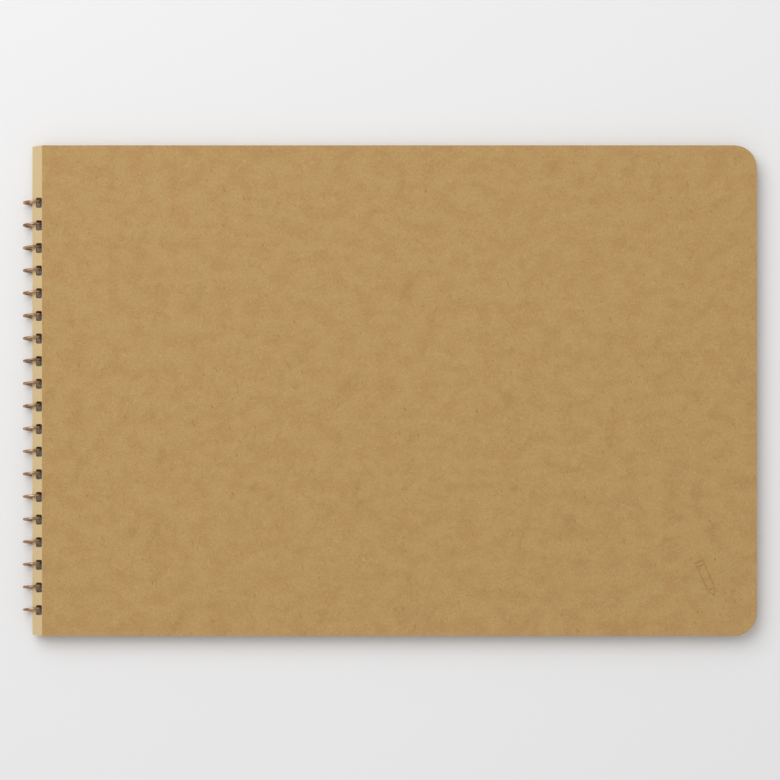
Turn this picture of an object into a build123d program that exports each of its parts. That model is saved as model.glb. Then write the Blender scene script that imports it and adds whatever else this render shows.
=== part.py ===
from build123d import *
import math
import os

# A landscape sketchbook: two kraft board covers and a block of drawing paper on one wire coil.
# Millimetres, +Z up. The coil's axis runs along Y. Both covers and every sheet turn about it.
# Shapes are drawn with the coil's axis at x = 0, z = 0, then moved so that the origin is under
# the middle of the whole book, with z = 0 at the lowest point of the coil.

# ---- driving dimensions ----
cover_width = 192.0  # spine edge to fore-edge
cover_height = 130.0  # head to tail
cover_thickness = 0.8
corner_radius = 6.0  # the two corners at the fore-edge
overhang = 1.0  # how far the covers stand proud of the sheets, on three sides

strip_width = 2.65  # the folded-down strip of the cover that carries the holes
strip_edge_thickness = 0.35  # the strip is pressed down to this at the spine edge
strip_end_taper = 0.35  # how far the strip's two ends draw in towards the spine edge
crease_width = 0.2
crease_depth = 0.06

sheet_count = 20
sheet_thickness = 0.1

pitch = 6.0  # from one hole to the next
top_margin = 15.2  # head of the cover to the middle of the first hole
bottom_margin = 6.1  # the least distance from the last hole's middle to the tail
hole_height = 2.7
hole_corner_radius = 0.4
hole_land = 0.9  # board left between the spine edge and the holes

wire_diameter = 0.7
bend_radius = 0.55  # where the wire steps along to the next hole

pencil_length = 10.5  # a plain pencil pressed into the front cover, near its fore-edge
pencil_width = 2.4
pencil_tip = 2.4
pencil_band = 1.4
pencil_line = 0.35
pencil_depth = 0.15
pencil_tilt = 24.0
pencil_from_fore_edge = 13.2
pencil_from_tail = 15.0

# ---- clearances ----
sheet_gap = 0.01  # between one sheet and the next, and between the block and each cover
spine_clearance = 0.05  # spine edge of a cover to the plane through the coil's axis
sheet_setback = 0.3  # the same for the sheets
wire_clearance = 0.12  # wire to board and paper, measured outwards from the axis
rise_clearance = 0.5  # wire to the head end of each hole, where it passes through
drop_clearance = 0.7  # wire to the tail end, where the holes come round when the book is open

# ---- the stack ----
block_thickness = sheet_count * sheet_thickness + (sheet_count + 1) * sheet_gap
inner_face = block_thickness / 2
outer_face = inner_face + cover_thickness
fore_edge = spine_clearance + cover_width
crease = spine_clearance + strip_width
strip_slope = (cover_thickness - strip_edge_thickness) / strip_width
sheet_height = cover_height - 2 * overhang
sheet_fore_edge = fore_edge - overhang


def strip_face(x):
    """Height of the strip's sloping face above the middle of the stack."""
    return inner_face + strip_edge_thickness + strip_slope * (x - spine_clearance)


# ---- the coil, sized to clear the land between the spine edge and the holes ----
wire_radius = wire_diameter / 2
hole_left = spine_clearance + hole_land
coil_inner_radius = math.hypot(hole_left, strip_face(hole_left)) + wire_clearance
coil_radius = coil_inner_radius + wire_radius
coil_outer_radius = coil_radius + wire_radius
wire_rise = hole_height / 2 - wire_radius - rise_clearance  # above the middle of each hole
wire_drop = hole_height / 2 - wire_radius - drop_clearance  # below it

# ---- holes ----
hole_right = math.sqrt(coil_outer_radius**2 - inner_face**2) + wire_clearance
sheet_hole_right = coil_outer_radius + wire_clearance
turns = int((cover_height - top_margin - bottom_margin) / pitch) + 1
first_hole = cover_height / 2 - top_margin
hole_rows = [first_hole - k * pitch for k in range(turns)]

# ---- where the coil's axis stands in the finished frame ----
overall_width = coil_outer_radius + fore_edge
axis_x = coil_outer_radius - overall_width / 2
axis_z = coil_outer_radius
PLACE = Pos(axis_x, 0, axis_z)


def holes(left, right):
    """Cutters for one row of holes, tall enough to pass through the whole stack."""
    middle = (left + right) / 2
    outline = RectangleRounded(right - left, hole_height, hole_corner_radius)
    reach = 2 * outer_face
    cutter = extrude(outline, amount=reach, both=True)
    return [Pos(middle, y, 0) * cutter for y in hole_rows]


def plate_outline(left, bend, right, height, taper, radius):
    """A plate seen from above: square at the spine, rounded at the fore-edge."""
    half = height / 2
    corners = [
        (left, taper - half),
        (bend, -half),
        (right, -half),
        (right, half),
        (bend, half),
        (left, half - taper),
    ]
    face = make_face(Polyline(*corners, close=True))
    far = face.vertices().group_by(Axis.X)[-1]
    return fillet(far, radius=radius)


def cover():
    """The front cover's board, before anything is pressed into it."""
    half_crease = crease_width / 2
    section = [
        (spine_clearance, 0, inner_face),
        (fore_edge, 0, inner_face),
        (fore_edge, 0, outer_face),
        (crease + half_crease, 0, outer_face),
        (crease, 0, outer_face - crease_depth),
        (crease - half_crease, 0, strip_face(crease - half_crease)),
        (spine_clearance, 0, strip_face(spine_clearance)),
    ]
    bar = extrude(make_face(Polyline(*section, close=True)), amount=cover_height, both=True)
    outline = plate_outline(
        spine_clearance, crease, fore_edge, cover_height, strip_end_taper, corner_radius
    )
    board = bar & extrude(outline, amount=2 * outer_face)
    return board - holes(hole_left, hole_right)


def pencil():
    """Cutter for the pencil: its outline, the edge of its point and a band at its other end."""
    half_width = pencil_width / 2
    half_length = pencil_length / 2
    shoulder = pencil_tip - half_length
    corners = [
        (0, -half_length),
        (half_width, shoulder),
        (half_width, half_length),
        (-half_width, half_length),
        (-half_width, shoulder),
    ]
    shape = make_face(Polyline(*corners, close=True))
    line = shape - offset(shape, amount=-pencil_line, kind=Kind.INTERSECTION)
    bar = Rectangle(pencil_width, pencil_line)
    line += Pos(0, shoulder) * bar
    line += Pos(0, half_length - pencil_band) * bar
    where = Pos(
        fore_edge - pencil_from_fore_edge,
        pencil_from_tail - cover_height / 2,
        outer_face - pencil_depth,
    )
    return where * Rot(0, 0, pencil_tilt) * extrude(line, amount=2 * pencil_depth)


def sheet(index):
    """One sheet of paper. Sheet 0 is the top one."""
    bottom = inner_face - (index + 1) * (sheet_thickness + sheet_gap)
    radius = corner_radius - overhang
    outline = plate_outline(sheet_setback, crease, sheet_fore_edge, sheet_height, 0, radius)
    paper = Pos(0, 0, bottom) * extrude(outline, amount=sheet_thickness)
    return paper - holes(hole_left, sheet_hole_right)


# ---- the wire ----
# One turn is a many-sided figure with rounded corners. Its equal sides pass through the holes and
# over the spine. One more, under the back cover, is the step that carries it to the next hole.
SIDES = 9
STEP_START = 275.0  # degrees round the coil; 0 points at the fore-edge, 90 straight up
STEP_END = 295.0
LAST_STRAIGHT = 45.0  # up to here the wire lies square to the holes, then it leans
ROUNDNESS = 0.95  # radius of an ordinary corner, as a share of the coil's
side_angle = (STEP_START - STEP_END + 360) / SIDES


def turn_corners():
    """The corners of one turn, from the end of one step to the start of the next."""
    corners = []
    for i in range(SIDES + 1):
        degrees = STEP_END - 360 + i * side_angle
        beside_step = i in (0, SIDES)
        reach = coil_radius if beside_step else coil_radius / math.cos(math.radians(side_angle / 2))
        lean = max(0, degrees - LAST_STRAIGHT) / (STEP_START - LAST_STRAIGHT)
        y = wire_rise - lean * (wire_rise + wire_drop)
        angle = math.radians(degrees)
        corners.append(Vector(reach * math.cos(angle), y, reach * math.sin(angle)))
    return corners


def rounded_path(points, radii):
    """Straight runs through the points, joined by arcs that are tangent to both."""
    edges = []
    here = points[0]
    for before, corner, after, radius in zip(points, points[1:], points[2:], radii):
        back = (before - corner).normalized()
        onward = (after - corner).normalized()
        half = math.radians(back.get_angle(onward)) / 2
        run = radius / math.tan(half)
        inward = radius / math.sin(half) - radius
        start = corner + back * run
        middle = corner + (back + onward).normalized() * inward
        end = corner + onward * run
        edges.append(Line(here, start).edge())
        edges.append(ThreePointArc(start, middle, end).edge())
        here = end
    edges.append(Line(here, points[-1]).edge())
    return Wire(edges)


def coil():
    """Each turn starts and ends half-way along a step, where it meets the next one."""
    corners = turn_corners()
    along = Vector(0, pitch, 0)
    first = (corners[0] + corners[-1] + along) / 2
    points = [first, *corners, first - along]
    ordinary = ROUNDNESS * coil_radius
    radii = [bend_radius, *[ordinary] * (SIDES - 1), bend_radius]
    path = rounded_path(points, radii)
    start = Plane(origin=path @ 0, z_dir=path % 0)
    turn = sweep(start * Circle(wire_radius), path=path)
    return Part() + [Pos(0, y, 0) * turn for y in hole_rows]


os.makedirs("parts", exist_ok=True)
blank = cover()
export_step(PLACE * (blank - pencil()), "parts/front_cover.step")
export_step(PLACE * mirror(blank, about=Plane.XY), "parts/back_cover.step")
export_step(PLACE * coil(), "parts/binding_coil.step")
for i in range(sheet_count):
    export_step(PLACE * sheet(i), f"parts/sheet_{i + 1:02d}.step")
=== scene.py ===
"""The looks of a landscape sketchbook: kraft board covers, drawing paper and a bronze wire coil."""

import math

import bpy
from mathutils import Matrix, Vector


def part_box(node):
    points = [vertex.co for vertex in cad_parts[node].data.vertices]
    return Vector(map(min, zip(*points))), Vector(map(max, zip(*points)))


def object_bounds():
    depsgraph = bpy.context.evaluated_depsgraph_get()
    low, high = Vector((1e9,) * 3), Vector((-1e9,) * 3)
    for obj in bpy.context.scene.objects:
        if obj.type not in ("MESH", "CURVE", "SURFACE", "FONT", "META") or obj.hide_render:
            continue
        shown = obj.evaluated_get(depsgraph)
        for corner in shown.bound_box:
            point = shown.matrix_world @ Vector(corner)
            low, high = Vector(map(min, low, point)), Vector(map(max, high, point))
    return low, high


# ---- sizes, in metres ----
STRIP_WIDTH = 0.00265  # the pressed strip of each cover, beside the coil
VIEW_WIDTH = 0.2067  # what the camera sees from side to side, at the front cover
CAMERA_HEIGHT = 0.9  # above the front cover
CAMERA_RIGHT = -0.00122  # the camera's place, from over the middle of the front cover
CAMERA_UP = 0.00016
SENSOR = 36.0
FLOOR_HALF = 3.0
KEY_PLACE = (-0.36, 0.54, 0.80)  # the one lamp, up and to the left of the head
KEY_SIZE = 0.85
KEY_POWER = 6.4  # watts
WORLD_STRENGTH = 0.60

# ---- the colour sockets of a Mix node, which share their names with its other kinds ----
MIX_A, MIX_B, MIX_RESULT = 6, 7, 2

# ---- colours, as sRGB shares ----
KRAFT_OLIVE = (0.732, 0.598, 0.382)
KRAFT_ORANGE = (0.716, 0.566, 0.360)
KRAFT_DARK = (0.560, 0.415, 0.235)
KRAFT_FIBRE = (0.830, 0.715, 0.500)
# painted sheen: the paler kraft of the pressed strip stands in for the lamp light its slope catches
KRAFT_STRIP_SHEEN = (0.840, 0.750, 0.575)
PAPER_LIGHT = (0.955, 0.935, 0.880)
PAPER_DARK = (0.900, 0.870, 0.800)
BRONZE_LIGHT = (0.750, 0.610, 0.485)
BRONZE_DARK = (0.400, 0.280, 0.200)
FLOOR = (0.925, 0.923, 0.924)


def linear(colour):
    """An sRGB colour as the four linear numbers that shaders use."""
    return tuple(((c + 0.055) / 1.055) ** 2.4 if c > 0.04045 else c / 12.92 for c in colour) + (1.0,)


# ---- node graphs ----
class Graph:
    """A material and short ways to add nodes to it. Places are in the object's own metres."""

    def __init__(self, name):
        self.material = bpy.data.materials.new(name)
        self.material.use_nodes = True
        self.tree = self.material.node_tree
        self.shader = self.tree.nodes["Principled BSDF"]
        self.place = self.node("ShaderNodeTexCoord").outputs["Object"]

    def node(self, kind, **settings):
        made = self.tree.nodes.new(kind)
        for name, value in settings.items():
            setattr(made, name, value)
        return made

    def link(self, source, target):
        self.tree.links.new(source, target)

    def noise(self, size, stretch=(1, 1, 1), turn=0.0, shift=0.0, detail=3.0, roughness=0.5):
        """Noise with spots about size across, made longer by stretch, then turned by degrees."""
        mapping = self.node("ShaderNodeMapping", vector_type="TEXTURE")
        mapping.inputs["Location"].default_value = (shift * 0.1, shift * 0.07, shift * 0.03)
        mapping.inputs["Rotation"].default_value = (0, 0, math.radians(turn))
        mapping.inputs["Scale"].default_value = tuple(size * s for s in stretch)
        self.link(self.place, mapping.inputs["Vector"])
        made = self.node("ShaderNodeTexNoise")
        made.inputs["Scale"].default_value = 1.0
        made.inputs["Detail"].default_value = detail
        made.inputs["Roughness"].default_value = roughness
        self.link(mapping.outputs["Vector"], made.inputs["Vector"])
        return made.outputs["Fac"]

    def remap(self, value, low, high, out_low=0.0, out_high=1.0):
        made = self.node("ShaderNodeMapRange", interpolation_type="SMOOTHSTEP")
        made.inputs["From Min"].default_value = low
        made.inputs["From Max"].default_value = high
        made.inputs["To Min"].default_value = out_low
        made.inputs["To Max"].default_value = out_high
        self.link(value, made.inputs["Value"])
        return made.outputs["Result"]

    def math(self, operation, a, b):
        made = self.node("ShaderNodeMath", operation=operation)
        for socket, value in zip(made.inputs, (a, b)):
            if isinstance(value, (int, float)):
                socket.default_value = value
            else:
                self.link(value, socket)
        return made.outputs["Value"]

    def mix(self, factor, a, b):
        """Colour a where factor is 0 and colour b where it is 1."""
        made = self.node("ShaderNodeMix", data_type="RGBA")
        self.link(factor, made.inputs["Factor"])
        for socket, value in ((made.inputs[MIX_A], a), (made.inputs[MIX_B], b)):
            if isinstance(value, tuple):
                socket.default_value = linear(value)
            else:
                self.link(value, socket)
        return made.outputs[MIX_RESULT]

    def axis(self, name):
        parts = self.node("ShaderNodeSeparateXYZ")
        self.link(self.place, parts.inputs["Vector"])
        return parts.outputs[name]

    def bump(self, heights, depth):
        """Bump of about that depth, in metres, from one or more heights of 0 to 1."""
        total = heights[0]
        for height in heights[1:]:
            total = self.math("ADD", total, height)
        made = self.node("ShaderNodeBump")
        made.inputs["Strength"].default_value = 1.0
        made.inputs["Distance"].default_value = depth
        self.link(total, made.inputs["Height"])
        self.link(made.outputs["Normal"], self.shader.inputs["Normal"])


def kraft(name, shift, crease_x):
    """Brown kraft board: olive and orange blotches, wisps, short fibres, and a paler strip that is a painted
    sheen standing in for the light its slope catches.
    """
    g = Graph(name)
    blotch = g.remap(g.noise(0.0042, (1.3, 1, 1), shift=shift, detail=6, roughness=0.62), 0.40, 0.62)
    wisp = g.remap(g.noise(0.0050, (2, 1, 1), turn=65, shift=shift + 5, detail=6, roughness=0.65), 0.53, 0.74)
    fleck = g.remap(g.noise(0.0012, shift=shift + 8, detail=5, roughness=0.7), 0.56, 0.74)
    grain = g.noise(0.0005, shift=shift + 9, detail=3, roughness=0.7)
    level, slant, steep = (
        g.remap(g.noise(0.00042, (4, 1, 1), turn=turn, shift=shift + 2 + i), 0.60, 0.74)
        for i, turn in enumerate((17, -48, 77))
    )
    dark = g.remap(g.noise(0.0006, (3, 1, 1), turn=112, shift=shift + 7), 0.64, 0.76)
    colour = g.mix(blotch, KRAFT_OLIVE, KRAFT_ORANGE)
    colour = g.mix(g.math("MULTIPLY", wisp, 0.24), colour, KRAFT_DARK)
    colour = g.mix(g.math("MULTIPLY", fleck, 0.28), colour, KRAFT_DARK)
    colour = g.mix(g.remap(grain, 0.32, 0.72, 0.0, 0.26), colour, KRAFT_DARK)
    fibres = g.math("MAXIMUM", g.math("MAXIMUM", level, slant), steep)
    colour = g.mix(g.math("MULTIPLY", fibres, 0.24), colour, KRAFT_FIBRE)
    colour = g.mix(g.math("MULTIPLY", dark, 0.55), colour, KRAFT_DARK)
    # painted sheen: the strip beside the crease is paled in place of the light falling on its slope
    strip = g.remap(g.axis("X"), crease_x + 0.00015, crease_x - 0.00030)
    colour = g.mix(g.math("MULTIPLY", strip, 0.8), colour, KRAFT_STRIP_SHEEN)
    g.link(colour, g.shader.inputs["Base Color"])
    g.link(g.remap(grain, 0.3, 0.7, 0.72, 0.88), g.shader.inputs["Roughness"])
    g.shader.inputs["Specular IOR Level"].default_value = 0.3
    g.bump([g.math("MULTIPLY", grain, 0.6), g.math("MULTIPLY", fibres, 0.4)], 0.00003)
    return g.material


def paper(name, shift, tone):
    """Off-white drawing paper with a faint tooth. tone sets each sheet a little apart."""
    g = Graph(name)
    tooth = g.noise(0.0006, shift=shift, detail=4, roughness=0.6)
    cloud = g.remap(g.noise(0.012, shift=shift + 3), 0.3, 0.7, 0.0, 0.35)
    colour = g.mix(g.math("ADD", cloud, tone), PAPER_LIGHT, PAPER_DARK)
    fibre = g.remap(g.noise(0.0004, (5, 1, 1), turn=25, shift=shift + 6), 0.62, 0.74, 0.0, 0.2)
    colour = g.mix(fibre, colour, PAPER_DARK)
    g.link(colour, g.shader.inputs["Base Color"])
    g.link(g.remap(tooth, 0.3, 0.7, 0.8, 0.92), g.shader.inputs["Roughness"])
    g.shader.inputs["Specular IOR Level"].default_value = 0.25
    g.bump([tooth], 0.000015)
    return g.material


def bronze(name):
    """Bronze-coloured wire: darker in patches, with fine drawing marks."""
    g = Graph(name)
    patch = g.remap(g.noise(0.0018, detail=4), 0.35, 0.70)
    marks = g.noise(0.00009, (1, 7, 1), shift=4, detail=2)
    colour = g.mix(g.math("MULTIPLY", patch, 0.7), BRONZE_LIGHT, BRONZE_DARK)
    g.link(colour, g.shader.inputs["Base Color"])
    g.shader.inputs["Metallic"].default_value = 1.0
    g.link(g.remap(marks, 0.3, 0.7, 0.24, 0.42), g.shader.inputs["Roughness"])
    g.bump([marks], 0.000004)
    return g.material


def floor_material():
    g = Graph("floor")
    g.shader.inputs["Base Color"].default_value = linear(FLOOR)
    g.shader.inputs["Roughness"].default_value = 0.9
    g.shader.inputs["Specular IOR Level"].default_value = 0.1
    return g.material


def paint(node, material):
    """Gives a CAD node one material."""
    mesh = node.data
    mesh.materials.clear()
    mesh.materials.append(material)
    for face in mesh.polygons:
        face.material_index = 0


# ---- the room ----
def make_floor(height):
    bpy.ops.mesh.primitive_plane_add(size=2 * FLOOR_HALF, location=(0, 0, height))
    floor = bpy.context.object
    floor.name = "floor"
    floor.data.materials.append(floor_material())


def soft_light(name, place, size, power):
    """A square of soft light that faces the middle of the book."""
    data = bpy.data.lights.new(name, "AREA")
    data.size = size
    data.energy = power
    light = bpy.data.objects.new(name, data)
    bpy.context.scene.collection.objects.link(light)
    light.location = place
    light.rotation_euler = (-Vector(place)).to_track_quat("-Z", "Y").to_euler()


def make_world(strength):
    world = bpy.data.worlds.new("studio")
    world.use_nodes = True
    background = world.node_tree.nodes["Background"]
    background.inputs["Color"].default_value = (1, 1, 1, 1)
    background.inputs["Strength"].default_value = strength
    bpy.context.scene.world = world


def make_camera(cover_low, cover_high):
    """Looks straight down on the front cover."""
    data = bpy.data.cameras.new("camera")
    data.sensor_width = SENSOR
    data.lens = SENSOR * CAMERA_HEIGHT / VIEW_WIDTH
    camera = bpy.data.objects.new("camera", data)
    bpy.context.scene.collection.objects.link(camera)
    middle = (cover_low + cover_high) / 2
    camera.location = (middle.x + CAMERA_RIGHT, middle.y + CAMERA_UP, cover_high.z + CAMERA_HEIGHT)
    bpy.context.scene.camera = camera


# ---- the scene ----
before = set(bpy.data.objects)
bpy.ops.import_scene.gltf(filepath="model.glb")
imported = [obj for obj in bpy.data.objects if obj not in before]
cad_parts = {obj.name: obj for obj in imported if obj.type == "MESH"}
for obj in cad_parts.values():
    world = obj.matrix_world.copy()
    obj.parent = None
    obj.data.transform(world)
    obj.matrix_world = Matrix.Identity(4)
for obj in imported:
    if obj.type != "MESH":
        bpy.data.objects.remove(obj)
cad_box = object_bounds()
cover_low, cover_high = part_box("front_cover")
crease_x = cover_low.x + STRIP_WIDTH

paint(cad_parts["front_cover"], kraft("kraft_front", 1.0, crease_x))
paint(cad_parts["back_cover"], kraft("kraft_back", 21.0, crease_x))
paint(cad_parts["binding_coil"], bronze("bronze_wire"))
papers = [paper(f"paper_{i}", 3.0 * i, 0.12 * i) for i in range(3)]
for name, node in sorted(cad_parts.items()):
    if name.startswith("sheet_"):
        paint(node, papers[int(name[-2:]) % len(papers)])

make_floor(cad_box[0].z)
make_world(WORLD_STRENGTH)
soft_light("key", KEY_PLACE, KEY_SIZE, KEY_POWER)
make_camera(cover_low, cover_high)
bpy.context.scene.view_settings.view_transform = "Standard"
